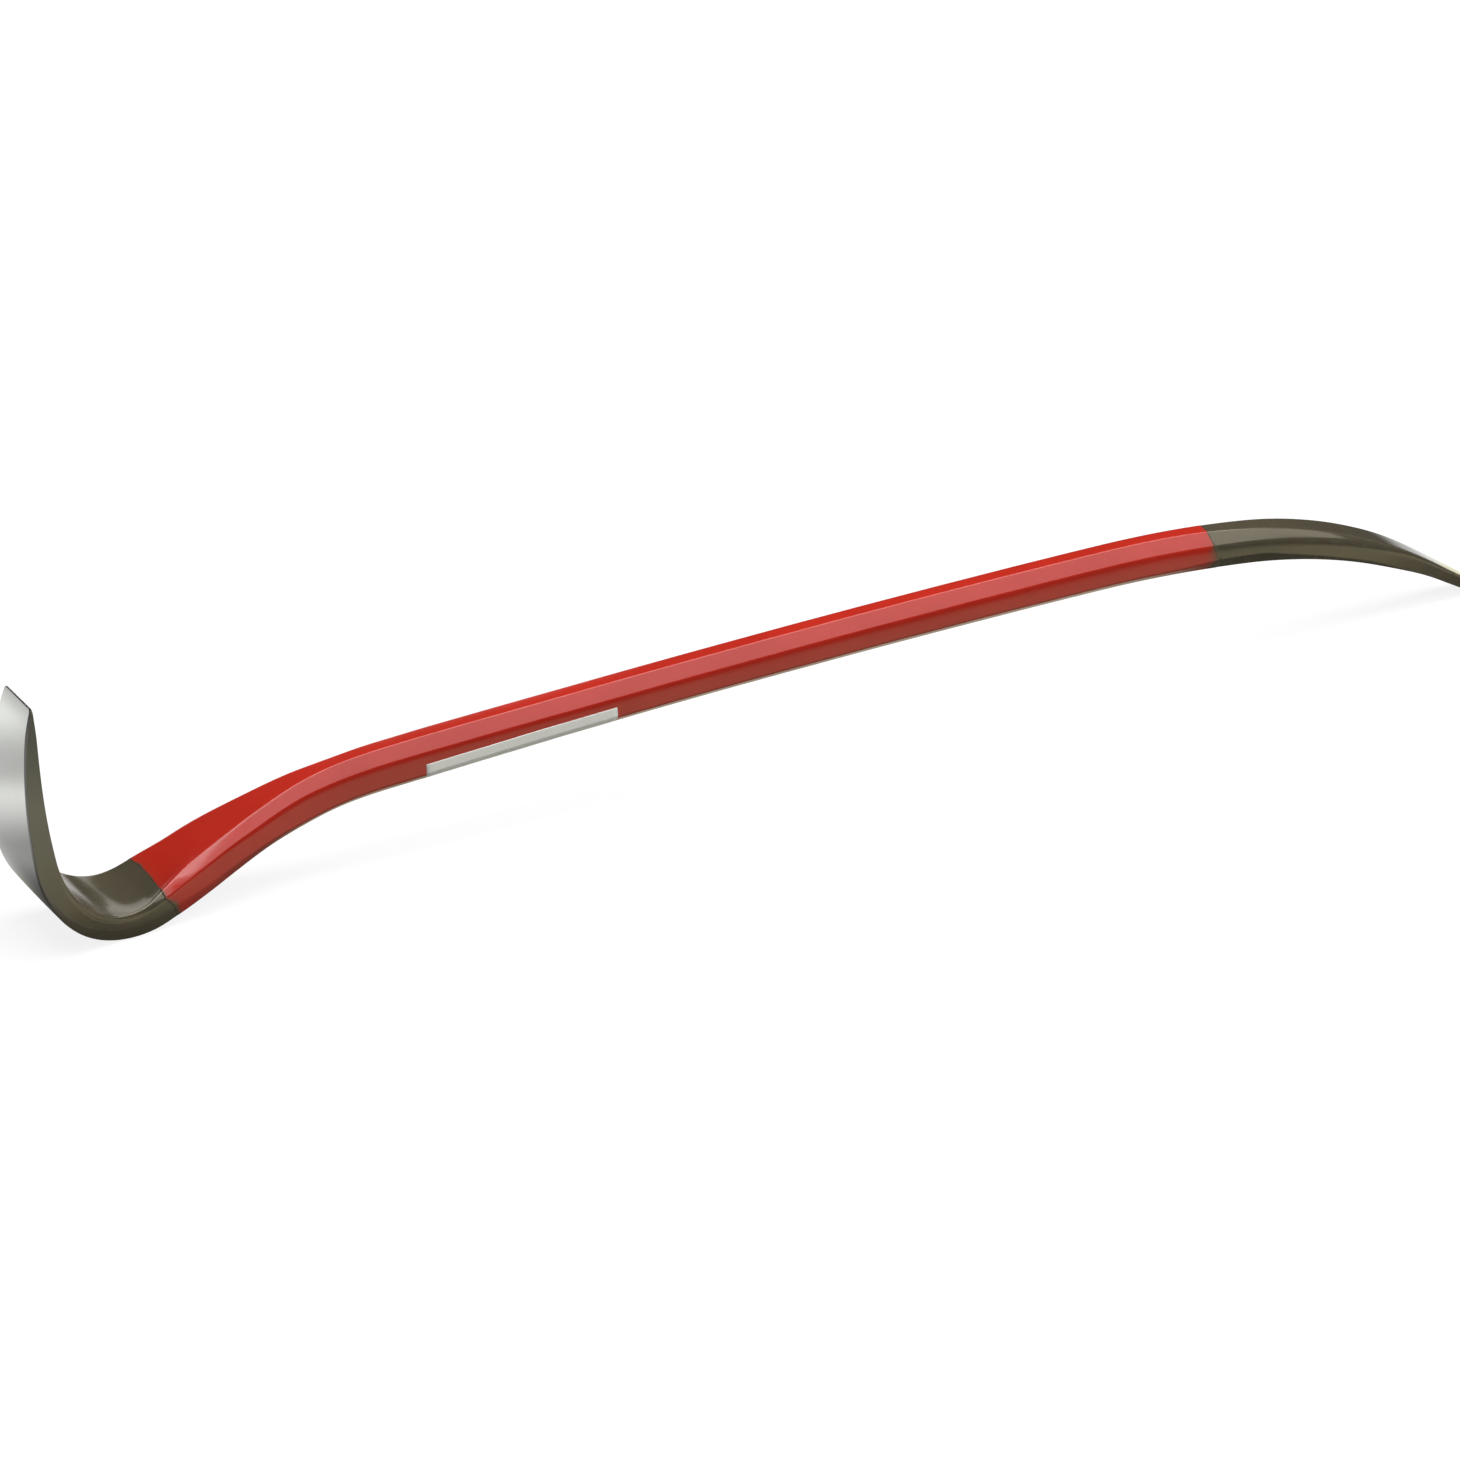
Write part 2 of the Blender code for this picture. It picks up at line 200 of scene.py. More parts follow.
HAMMERED = knots(
    ((0, 0.03), (90, 0.10), (150, 0.22), (210, 0.24), (310, 0.08)),
    ((220, 0.04), (120, 0.12), (60, 0.06), (0, 0.03)),
)
# The blade's edge is cut back from the start of the line, and its two corners are rounded.
EDGE_CUT_BACK, EDGE_CORNER, TIP_ROUND = 1.8 * MM, 2.5 * MM, 0.3 * MM
WHETTED = 0.9 * MM
NOSE_ROUNDING, NOSE_END_WIDTH, NOSE_END_ROUND = 29.0 * MM, 4.0 * MM, 1.4 * MM
FACE_CROWN = 0.05 * MM
# The chamfers waver by this share where the hammering is HAMMERED_MUCH deep, each by its
# own part of one noise. Both noises are given as waves to the metre.
WAVER, WAVER_WAVES, HAMMER_WAVES = 0.07, 34.0, 38.0
WAVER_APART, WAVER_LEVEL = 5.3, 1.7
HAMMERED_MUCH = 0.2 * MM
# The most of a half width or half height that a chamfer takes, and the most of a face that
# one corner's rounding takes.
MOST_ACROSS, MOST_DOWN = 0.8, 1.1
MOST_OF_FACE, MOST_OF_SIDE = 0.45, 0.66
# Brings the highest value of share^2 (1 - share) to one.
DISH_PEAK = 27.0 / 4.0

# The faces between the eight corners, anticlockwise from the inner near corner.
NEAR_SIDE, LOWER_CHAMFER, OUTER_FACE, FAR_SIDE, INNER_FACE = 1, 2, 3, 5, 7
CORNER_STEPS = 6
ACROSS_FACE = (0.04, 0.15, 0.32, 0.5, 0.68, 0.85, 0.96)
FACE_POINTS = CORNER_STEPS + 1 + len(ACROSS_FACE)
RING = 8 * FACE_POINTS

# The sections stand close together up to the shaft and from the nose on.
FINE_UNTIL, FINE_FROM = 330.0 * MM, LENGTH - 230.0 * MM
FINE_STEP, COARSE_STEP = 2.0 * MM, 5.0 * MM
# Closer still, in the rounding of the edge and its corners, and of the nose and its end.
TIP_ANGLES, NOSE_END_ANGLES = (90, 65, 40, 20), (0, 18, 36, 54, 72, 90)
EDGE_CORNER_STEPS, NOSE_ROUNDING_STEPS = 5, 12
PAST_CORNER = 1.5 * MM
BLANK_RADIUS = 10.0 * MM
# Edges that turn by more degrees than this stay sharp.
SMOOTH_STEEL, SMOOTH_FILM = 30.0, 40.0


def corners(distance):
    """The eight corners of the section as (across, up)."""
    wide = size_at(WIDTH, distance) / 2.0
    short = EDGE_CUT_BACK + EDGE_CORNER - distance
    if short > 0.0:
        wide -= EDGE_CORNER - math.sqrt(max(0.0, EDGE_CORNER**2 - short**2))
    left = LENGTH - distance
    if left < NOSE_ROUNDING:
        end = NOSE_END_WIDTH / 2.0
        wide = end + (wide - end) * math.sqrt(1.0 - (1.0 - left / NOSE_ROUNDING) ** 2)
    high = size_at(THICKNESS, distance) / 2.0 - FACE_CROWN
    low = high + FACE_CROWN - size_at(OUTER_CROWN, distance)
    chamfers = []
    for row, pairs in enumerate((INNER_ACROSS, INNER_DOWN, OUTER_ACROSS, OUTER_DOWN)):
        uneven = noise.noise(Vector((distance * WAVER_WAVES, row * WAVER_APART, WAVER_LEVEL)))
        uneven *= WAVER * size_at(HAMMERED, distance) / HAMMERED_MUCH
        limit = high * MOST_DOWN if row % 2 else wide * MOST_ACROSS
        chamfers.append(min(size_at(pairs, distance) * (1.0 + uneven), limit))
    in_a, in_d, out_a, out_d = chamfers
    shoulder = wide - size_at(SIDE_DRAFT, distance)
    return [Vector(corner) for corner in (
        (in_a - wide, high), (-shoulder, high - in_d), (-wide, out_d - low), (out_a - wide, -low),
        (wide - out_a, -low), (wide, out_d - low), (shoulder, high - in_d), (wide - in_a, high),
    )]


def end_rounding(distance):
    """How far the section is drawn in, close to either end."""
    ends = (distance - EDGE_CUT_BACK, TIP_ROUND), (LENGTH - distance, NOSE_END_ROUND)
    for left, radius in ends:
        if left < radius:
            return radius - math.sqrt(max(0.0, radius**2 - (radius - left) ** 2))
    return 0.0


def ring(distance, proud=0.0):
    """One section of the bar: each point's place, its (along, across, up) on the straight
    bar, and its gap to the nearest edge with a mark on the faces that are ground. A section
    that is proud lies so far outside the steel."""
    middle, up = on_line(distance)
    outline = corners(distance)
    drawn_in = end_rounding(distance)
    face, chamfer, side, lower = (
        size_at(pairs, distance)
        for pairs in (FACE_ROUNDING, CHAMFER_ROUNDING, SIDE_ROUNDING, LOWER_ROUNDING)
    )
    reach_back = (face, chamfer, lower, face, face, lower, side, face)
    reach_on = (face, side, lower, face, face, lower, chamfer, face)
    most_back = (MOST_OF_FACE,) * 6 + (MOST_OF_SIDE, MOST_OF_FACE)
    most_on = (MOST_OF_FACE, MOST_OF_SIDE) + (MOST_OF_FACE,) * 6
    crowns = [FACE_CROWN] * 8
    crowns[OUTER_FACE] = size_at(OUTER_CROWN, distance)
    crowns[NEAR_SIDE] = crowns[FAR_SIDE] = 0.0
    dish = size_at(DISH, distance)
    rough = size_at(HAMMERED, distance)
    ground = OUTER_FACE if distance < LENGTH / 2.0 else INNER_FACE
    whetted = distance < EDGE_CUT_BACK + WHETTED
    flat = []
    for k, corner in enumerate(outline):
        before, after = outline[k - 1] - corner, outline[(k + 1) % 8] - corner
        start = corner + before.normalized() * min(reach_back[k], before.length * most_back[k])
        end = corner + after.normalized() * min(reach_on[k], after.length * most_on[k])
        for step in range(CORNER_STEPS + 1):
            t = step / CORNER_STEPS
            point = start * (1 - t) ** 2 + corner * 2 * t * (1 - t) + end * t * t
            marked = ((step == 0 and (k - 1) % 8 == ground)
                      or (step == CORNER_STEPS and k == ground))
            flat.append((point, float(marked or whetted)))
        n = (k + 1) % 8
        stop = outline[n] - after.normalized() * min(reach_back[n], after.length * most_back[n])
        outward = Vector((-after.y, after.x)).normalized() * -1.0
        for share in ACROSS_FACE:
            bulge = crowns[k] * 4.0 * share * (1.0 - share)
            if k == INNER_FACE:
                bulge -= dish * DISH_PEAK * share**2 * (1.0 - share)
            point = end.lerp(stop, share) + outward * bulge
            flat.append((point, float(k == ground or whetted)))
    wide = max(point.x for point, _ in flat)
    high = max(point.y for point, _ in flat)
    places = []
    for i, (point, bright) in enumerate(flat):
        gap = min((point - corner).length for corner in outline)
        ahead, behind = flat[(i + 1) % RING][0], flat[i - 1][0]
        outward = Vector((behind.y - ahead.y, ahead.x - behind.x)).normalized() * -1.0
        straight = Vector((distance, point.x, point.y))
        hollow = rough * (0.5 + 0.5 * noise.noise(straight * HAMMER_WAVES))
        moved = point + outward * (proud - hollow)
        moved = Vector((moved.x * (1.0 - drawn_in / wide), moved.y * (1.0 - drawn_in / high)))
        place = middle + Vector((0.0, moved.x, 0.0)) + up * moved.y
        places.append((place, straight, Vector((gap, bright, 0.0))))
    return places


def spaced(start, end, step):
    count = max(1, math.ceil((end - start) / step))
    return [start + (end - start) * i / count for i in range(count)]


def sections_between(start, end):
    """Distances of the sections: close together wherever the bar bends or changes."""
    marks = []
    for low, high, step in (
        (start, min(end, FINE_UNTIL), FINE_STEP),
        (max(start, FINE_UNTIL), min(end, FINE_FROM), COARSE_STEP),
        (max(start, FINE_FROM), end, FINE_STEP),
    ):
        if high > low:
            marks += spaced(low, high, step)
    return marks + [end]


def drawn_out(name, rings, ends):
    """A round blank, extruded section by section, then pressed to each section's shape."""
    bpy.ops.object.select_all(action="DESELECT")
    bpy.ops.mesh.primitive_circle_add(vertices=RING, radius=BLANK_RADIUS, fill_type=ends)
    piece = bpy.context.object
    piece.name = piece.data.name = name
    bpy.ops.object.mode_set(mode="EDIT")
    for _ in rings[1:]:
        bpy.ops.mesh.extrude_region_move(TRANSFORM_OT_translate={"value": (0.0, 0.0, MM)})
    bpy.ops.object.mode_set(mode="OBJECT")
    straight = piece.data.attributes.new("straight", "FLOAT_VECTOR", "POINT")
    facet = piece.data.attributes.new("facet", "FLOAT_VECTOR", "POINT")
    points = [point for points in rings for point in points]
    for i, (place, on_straight_bar, on_facet) in enumerate(points):
        piece.data.vertices[i].co = place
        straight.data[i].vector = on_straight_bar
        facet.data[i].vector = on_facet
    return piece


def outward_and_smooth(piece, degrees):
    bpy.ops.object.mode_set(mode="EDIT")
    bpy.ops.mesh.select_all(action="SELECT")
    bpy.ops.mesh.normals_make_consistent(inside=False)
    bpy.ops.object.mode_set(mode="OBJECT")
    bpy.ops.object.shade_smooth_by_angle(angle=math.radians(degrees))


def from_end(radius, degrees):
    """How far from an end a section lies that meets the end's rounding at this angle."""
    return radius * (1.0 - math.sin(math.radians(degrees)))


tip = [EDGE_CUT_BACK + from_end(TIP_ROUND, degrees) for degrees in TIP_ANGLES]
nose_end = [LENGTH - from_end(NOSE_END_ROUND, degrees) for degrees in NOSE_END_ANGLES]
corner_marks = [EDGE_CUT_BACK + EDGE_CORNER * (i / EDGE_CORNER_STEPS) ** 2
                for i in range(2, EDGE_CORNER_STEPS + 1)]
round_marks = [LENGTH - NOSE_ROUNDING * (i / NOSE_ROUNDING_STEPS) ** 2
               for i in range(NOSE_ROUNDING_STEPS - 1, 3, -1)]
marks = tip + corner_marks
marks += sections_between(corner_marks[-1] + PAST_CORNER, LENGTH - NOSE_ROUNDING)
marks += round_marks + [mark for mark in nose_end if mark > round_marks[-1]]
bar = drawn_out("bar", [ring(mark) for mark in sorted(marks)], "NGON")
outward_and_smooth(bar, SMOOTH_STEEL)


def add(tree, kind, inputs=(), **settings):
    """A node with its settings; each input is a number, a colour or another node's socket."""
    made = tree.nodes.new(kind)
    for key, value in settings.items():
        setattr(made, key, value)
    for key, value in dict(inputs).items():
        if isinstance(value, bpy.types.NodeSocket):
            tree.links.new(value, made.inputs[key])
        else:
            made.inputs[key].default_value = value
    return made


def ramp(tree, value, low, high, out_low=0.0, out_high=1.0):
    """The value eased from one range into another."""
    return add(tree, "ShaderNodeMapRange", {
        "Value": value, "From Min": low, "From Max": high, "To Min": out_low, "To Max": out_high,
    }, interpolation_type="SMOOTHSTEP").outputs["Result"]


def combine(tree, operation, first, second, third=None):
    """Two or three numbers through one step of arithmetic."""
    inputs = {0: first, 1: second}
    if third is not None:
        inputs[2] = third
    return add(tree, "ShaderNodeMath", inputs, operation=operation).outputs[0]


def blended(tree, share, first, second):
    """One colour into another by a share."""
    return add(tree, "ShaderNodeMix", {0: share, 6: first, 7: second},
               data_type="RGBA").outputs[2]


def mixed(tree, share, first, second):
    """One number into another by a share."""
    return add(tree, "ShaderNodeMix", {0: share, 2: first, 3: second}).outputs[0]


def grain(tree, vector, scale, detail=2.0, roughness=0.5, stretch=None):
    """Noise on the straight bar's coordinates, stretched where stretch is given."""
    if stretch:
        vector = add(tree, "ShaderNodeMapping", {"Vector": vector, "Scale": stretch},
                     vector_type="TEXTURE").outputs[0]
    return add(tree, "ShaderNodeTexNoise", {
        "Vector": vector, "Scale": scale, "Detail": detail, "Roughness": roughness,
    }).outputs["Fac"]


def grey(value):
    return (value, value, value, 1.0)


def split(tree, vector):
    return add(tree, "ShaderNodeSeparateXYZ", {0: vector}).outputs


def stored(tree, name):
    """What drawn_out has written at the points of a piece."""
    return add(tree, "ShaderNodeAttribute", attribute_name=name).outputs["Vector"]


def new_group(name, inputs, outputs):
    group = bpy.data.node_groups.new(name, "ShaderNodeTree")
    for label, kind in inputs.items():
        group.interface.new_socket(label, in_out="INPUT", socket_type=kind)
    for label, kind in outputs.items():
        group.interface.new_socket(label, in_out="OUTPUT", socket_type=kind)
    return group, group.nodes.new("NodeGroupInput"), group.nodes.new("NodeGroupOutput")


def new_material(name, preview):
    made = bpy.data.materials.new(name)
    made.use_nodes = True
    made.diffuse_color = preview
    return made, made.node_tree, made.node_tree.nodes["Principled BSDF"]


# A noise is given by its waves to the metre, its detail and its roughness, and some by how
# far it is stretched as well. Nearly all of it lies within SPREAD.
SPREAD = (0.3, 0.7)

# Handling marks, on every surface of the tool: hairline scratches, where it is handled
# most, and dull fingered patches. Each shows where its noise is high.
HAIRS_ALONG, ALONG_SHOWS = (900.0, 2.0, 0.5, (14.0, 1.0, 1.6)), (0.64, 0.72)
HAIRS_ROUND, ROUND_SHOWS = (700.0, 2.0, 0.5, (1.5, 9.0, 6.0)), (0.68, 0.76)
HANDLED, HANDLED_SHOWS = (45.0, 3.0, 0.6), (0.45, 0.7)
FINGERED, FINGERED_SHOWS = (28.0, 5.0, 0.62), (0.42, 0.75)

handling, into, out = new_group(
    "handling_marks",
    {"Place": "NodeSocketVector", "Scratches": "NodeSocketFloat", "Dullness": "NodeSocketFloat"},
    {"Scratch": "NodeSocketFloat", "Dull": "NodeSocketFloat"},
)
place = into.outputs["Place"]
hairs = combine(handling, "MAXIMUM",
                ramp(handling, grain(handling, place, *HAIRS_ALONG), *ALONG_SHOWS),
                ramp(handling, grain(handling, place, *HAIRS_ROUND), *ROUND_SHOWS))
hairs = combine(handling, "MULTIPLY", hairs,
                ramp(handling, grain(handling, place, *HANDLED), *HANDLED_SHOWS))
handling.links.new(combine(handling, "MULTIPLY", hairs, into.outputs["Scratches"]),
                   out.inputs["Scratch"])
patches = ramp(handling, grain(handling, place, *FINGERED), *FINGERED_SHOWS)
handling.links.new(combine(handling, "MULTIPLY", patches, into.outputs["Dullness"]),
                   out.inputs["Dull"])

# Rubbed edges, on the steel and on the enamel: how much of the finish is worn thin along
# the edges between the faces, by each point's gap to its nearest edge. The reach varies
# along a broken line, and the wear is less between its patches.
BROKEN, BROKEN_SPREAD, REACH_VARIES = (160.0, 4.0, 0.65), (0.35, 0.7), (0.15, 1.6)
PATCHY, PATCHY_SPREAD, WORN_BETWEEN = (22.0, 3.0), (0.4, 0.62), 0.25

rubbed, into, out = new_group(
    "rubbed_edges",
    {"Place": "NodeSocketVector", "Gap": "NodeSocketFloat", "Reach": "NodeSocketFloat"},
    {"Worn": "NodeSocketFloat"},
)
place = into.outputs["Place"]
reach = combine(rubbed, "MULTIPLY", into.outputs["Reach"],
                ramp(rubbed, grain(rubbed, place, *BROKEN), *BROKEN_SPREAD, *REACH_VARIES))
near = combine(rubbed, "SUBTRACT", 1.0, combine(rubbed, "DIVIDE", into.outputs["Gap"], reach))
near = combine(rubbed, "MAXIMUM", near, 0.0)
patchy = ramp(rubbed, grain(rubbed, place, *PATCHY), *PATCHY_SPREAD, WORN_BETWEEN, 1.0)
rubbed.links.new(combine(rubbed, "MULTIPLY", near, patchy), out.inputs["Worn"])


def marks_of_handling(tree, place, scratches, dullness):
    return add(tree, "ShaderNodeGroup", {
        "Place": place, "Scratches": scratches, "Dullness": dullness,
    }, node_tree=handling).outputs


def worn_edges(tree, place, gap, reach):
    return add(tree, "ShaderNodeGroup", {"Place": place, "Gap": gap, "Reach": reach},
               node_tree=rubbed).outputs["Worn"]


def raised(tree, shader, height):
    """The surface raised by a height in millimetres."""
    bump = add(tree, "ShaderNodeBump", {"Height": height, "Distance": MM, "Strength": 1.0})
    tree.links.new(bump.outputs["Normal"], shader.inputs["Normal"])


SKIN_BROWN = (0.123, 0.102, 0.065, 1.0)
SKIN_OLIVE = (0.105, 0.093, 0.060, 1.0)
SKIN_GREY = (0.172, 0.170, 0.136, 1.0)
SKIN_WORN = (0.19, 0.17, 0.13, 1.0)
SKIN_METALLIC = 0.3
EDGE_WEAR, SCRATCH_WEAR = 0.55, 0.35
# The skin is grey next to the blade's edge, and smoother towards the nose.
GREY_UNTIL, BROWN_FROM = 55.0 * MM, 125.0 * MM
SKIN_ROUGH = (0.20, 0.25)
ROUGHER_UNTIL, SMOOTHER_FROM = 870.0 * MM, 930.0 * MM
ROUGHER, SMOOTHER = 0.8, 0.42
BLOTCHES = (42.0, 5.0, 0.6)
GRIT = (700.0, 2.0, 0.5)
PIT_WAVES, PIT_REACH = 420.0, 0.28

# The ground faces have a dark rim of painted shade along their edges. The rim fades out to the
# far side.
GROUND = (0.88, 0.895, 0.855, 1.0)
NOSE_GROUND = (0.86, 0.85, 0.78, 1.0)
GROUND_ROUGH = (0.17, 0.21)
PAINTED_SHADE = (0.020, 0.021, 0.012, 1.0)
RIM, RIM_SOFT = 2.2 * MM, 0.15 * MM
RIM_FADES = (-2.0 * MM, 2.0 * MM)
GRINDING = (60.0, 3.0, 0.6, (1.0, 0.03, 0.03))
GRINDING_DULLS = 0.94
# The painted reflection on the blade's ground face: how bright its bands are, from its edge
# towards the heel.
PAINTED_REFLECTION_BANDS = ((0.0, 0.96), (0.11, 0.90), (0.223, 0.57), (0.354, 0.49), (0.472, 0.78),
                (0.66, 0.24), (0.785, 0.25), (1.0, 0.27))
REFLECTION_BANDS_SLANT = 0.45
BLADE_GROUND_TO, BLADE_FADES_OVER = 124.0 * MM, 8.0 * MM
GROUND_UNEVEN = 4.0 * MM
# The nose's ground face is darker where its grinding starts and along its near edge.
NOSE_GROUND_FROM, NOSE_FADES_OVER = 963.0 * MM, 20.0 * MM
NOSE_BRIGHT_FROM, NOSE_START_DARKER = 1003.0 * MM, 0.40
NOSE_EDGE, NOSE_EDGE_DARKER = (-9.0 * MM, 4.0 * MM), 0.62

# In millimetres.
BLOTCH_HEIGHT, GRIT_HEIGHT, PIT_HEIGHT, GRINDING_HEIGHT = 0.04, 0.001, 0.0008, 0.006


def forging_skin(tree, blotches):
    """The colour of the lacquered skin, here and where it shows through the coat."""
    return blended(tree, ramp(tree, blotches, *SPREAD), SKIN_OLIVE, SKIN_BROWN)


steel, tree, shader = new_material("forged_steel_skin", (0.12, 0.11, 0.08, 1.0))
place = stored(tree, "straight")
along, across, _ = split(tree, place)
gap, faces_ground, _ = split(tree, stored(tree, "facet"))
blotches = grain(tree, place, *BLOTCHES)
grit = grain(tree, place, *GRIT)
pits = add(tree, "ShaderNodeTexVoronoi", {"Vector": place, "Scale": PIT_WAVES}, feature="F1")
pits = ramp(tree, pits.outputs["Distance"], 0.0, PIT_REACH)
marked = marks_of_handling(tree, place, scratches=0.08, dullness=0.05)
worn = worn_edges(tree, place, gap, reach=0.9 * MM)

skin = forging_skin(tree, blotches)
skin = blended(tree, ramp(tree, along, GREY_UNTIL, BROWN_FROM, 1.0, 0.0), skin, SKIN_GREY)
skin = blended(tree, combine(tree, "MULTIPLY", worn, EDGE_WEAR), skin, SKIN_WORN)
skin = blended(tree, combine(tree, "MULTIPLY", marked["Scratch"], SCRATCH_WEAR), skin, SKIN_WORN)

lines = grain(tree, place, *GRINDING)
# The blade's ground face is painted with reflection: bands of light and shade along a slant,
# blended towards the painted shade.
slanted = combine(tree, "MULTIPLY_ADD", across, -REFLECTION_BANDS_SLANT, along)
reflection_bands = add(tree, "ShaderNodeValToRGB", {0: combine(tree, "DIVIDE", slanted, BLADE_GROUND_TO)})
reflection_bands.color_ramp.interpolation = "CARDINAL"
for at, _ in PAINTED_REFLECTION_BANDS[1:-1]:
    reflection_bands.color_ramp.elements.new(at)
for element, (at, bright) in zip(reflection_bands.color_ramp.elements, PAINTED_REFLECTION_BANDS):
    element.position, element.color = at, grey(bright)
at_nose = combine(tree, "GREATER_THAN", along, LENGTH / 2.0)
blade_painted_reflection = combine(tree, "MULTIPLY", reflection_bands.outputs[0],
                       combine(tree, "SUBTRACT", 1.0, at_nose))
nose_bright = combine(
    tree, "MULTIPLY", ramp(tree, along, NOSE_GROUND_FROM, NOSE_BRIGHT_FROM, NOSE_START_DARKER, 1.0),
    ramp(tree, across, *NOSE_EDGE, NOSE_EDGE_DARKER, 1.0))
bright = combine(tree, "MAXIMUM", combine(tree, "MULTIPLY", at_nose, nose_bright), blade_painted_reflection)
bright = combine(tree, "MULTIPLY", bright, ramp(tree, lines, *SPREAD, GRINDING_DULLS, 1.0))
ground_tone = blended(tree, at_nose, GROUND, NOSE_GROUND)
ground_tone = blended(tree, bright, PAINTED_SHADE, ground_tone)

from_edge = combine(tree, "ADD", gap, ramp(tree, across, *RIM_FADES, 0.0, RIM * 2.0))
inside = ramp(tree, from_edge, RIM - RIM_SOFT, RIM + RIM_SOFT)
wavy = combine(tree, "ADD", along,
               ramp(tree, blotches, *SPREAD, -GROUND_UNEVEN, GROUND_UNEVEN))
on_blade = ramp(tree, wavy, BLADE_GROUND_TO, BLADE_GROUND_TO + BLADE_FADES_OVER, 1.0, 0.0)
on_nose = ramp(tree, wavy, NOSE_GROUND_FROM, NOSE_GROUND_FROM + NOSE_FADES_OVER)
on_ground = combine(tree, "MULTIPLY", faces_ground, combine(tree, "MAXIMUM", on_blade, on_nose))
# The rim is painted shade: dark and not metal, along the ground faces' edges on the near side.
shaded_rim = combine(tree, "MULTIPLY", on_ground, combine(tree, "SUBTRACT", 1.0, inside))
ground = combine(tree, "MULTIPLY", on_ground, inside)
skin = blended(tree, shaded_rim, skin, PAINTED_SHADE)
tree.links.new(blended(tree, ground, skin, ground_tone), shader.inputs["Base Color"])

metal = combine(tree, "MULTIPLY", ramp(tree, ground, 0.0, 1.0, SKIN_METALLIC, 1.0),
                combine(tree, "SUBTRACT", 1.0, shaded_rim))
tree.links.new(metal, shader.inputs["Metallic"])
skin_rough = combine(tree, "ADD", ramp(tree, blotches, *SPREAD, *SKIN_ROUGH), marked["Dull"])
skin_rough = combine(tree, "MULTIPLY", skin_rough,
                     ramp(tree, along, ROUGHER_UNTIL, SMOOTHER_FROM, ROUGHER, SMOOTHER))
rough = mixed(tree, ground, skin_rough, ramp(tree, lines, *SPREAD, *GROUND_ROUGH))
tree.links.new(rough, shader.inputs["Roughness"])
skin_height = combine(tree, "MULTIPLY_ADD", blotches, BLOTCH_HEIGHT,
                      combine(tree, "MULTIPLY", grit, GRIT_HEIGHT))
skin_height = combine(tree, "MULTIPLY_ADD", pits, PIT_HEIGHT, skin_height)
ground_height = combine(tree, "MULTIPLY", lines, GRINDING_HEIGHT)
raised(tree, shader, mixed(tree, ground, skin_height, ground_height))
bar.data.materials.append(steel)

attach(bar, "root")
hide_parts("forged_bar")

# ---------------------------------------------------------------------------------------
# The red coat. Gloss enamel, dipped or sprayed, a tenth of a millimetre thick. Each end
# runs out in a thin soft line that wanders a little round the bar.

COAT_START, COAT_END = 186.4 * MM, 840.6 * MM
COAT_PROUD, COAT_FILM, COAT_LIP = 0.12 * MM, 0.10 * MM, 0.01 * MM
FEATHER = 0.8 * MM
EASES_OVER = 12.0 * MM

# The two noises that the ends wander by, each as its reach in mm and its waves round the
# bar, and the part of them that each end takes.
WANDERS = ((0.9, 1.7), (0.35, 7.0))
WANDER_AT_NOSE, WANDER_AT_NECK = 40.0, 10.0
# In mm, how the ends lie round the bar, with the height running from -1 below to 1 above. At
# the nose the coat reaches further the lower it is, by an even lean and by a steep step. At
# the neck it draws back in the middle of the upper face, and by a steep step below. A step
# is its value at half height, its steepness, and the least and the most that it comes to.
NOSE_LEAN, NECK_MIDDLE = 2.3, 2.6
NOSE_STEP, NECK_STEP = (3.5, 5.0, 0.0, 4.0), (1.6, 3.0, -0.5, 1.8)


def stepped(up, half_way, steepness, least, most):
    return max(least, min(most, half_way - steepness * up))


def coat_shift(point, distance, at_nose):
    """How far the coat's end wanders at this place round the bar."""
    wide, high = size_at(WIDTH, distance) / 2.0, size_at(THICKNESS, distance) / 2.0
    across, up = point.y / wide, point.z / high
    shift = 0.0
    for reach, waves in WANDERS:
        shift += reach * noise.noise(Vector((
            across * waves, up * waves, WANDER_AT_NOSE if at_nose else WANDER_AT_NECK)))
    if at_nose:
        return (shift - NOSE_LEAN * up + stepped(up, *NOSE_STEP)) * MM
    middle = (1.0 - across**2) * max(up, 0.0)
    return (shift + NECK_MIDDLE * middle + stepped(up, *NECK_STEP)) * MM


def coat_ring(distance, proud):
    """A section of the coat, each of its points shifted along near the two ends. Its facet
    holds the gap to the nearest edge, how low round the bar it is, and the way to the end."""
    at_nose = distance > LENGTH / 2.0
    end = COAT_END if at_nose else COAT_START
    left = abs(distance - end)
    share = max(0.0, 1.0 - left / EASES_OVER) ** 2
    points = []
    for i, (place, straight, facet) in enumerate(ring(distance, proud)):
        if share > 0.0:
            shifted = distance + share * coat_shift(straight, end, at_nose)
            place, straight, facet = ring(shifted, proud)[i]
        low = min(max(0.5 - straight.z / size_at(THICKNESS, end), 0.0), 1.0)
        points.append((place, straight, Vector((facet.x, low, left))))
    return points


def thicken(film, thickness):
    """Give a film its thickness, inwards."""
    solid = film.modifiers.new("film", "SOLIDIFY")
    solid.thickness, solid.offset = thickness, -1.0
    bpy.ops.object.modifier_apply(modifier=solid.name)


coat_marks = sections_between(COAT_START + FEATHER, COAT_END - FEATHER)
coat_rings = [coat_ring(COAT_START, COAT_FILM + COAT_LIP)]
coat_rings += [coat_ring(mark, COAT_PROUD) for mark in coat_marks]
coat_rings += [coat_ring(COAT_END, COAT_FILM + COAT_LIP)]
coat = drawn_out("enamel_coat", coat_rings, "NOTHING")
outward_and_smooth(coat, SMOOTH_FILM)
thicken(coat, COAT_FILM)

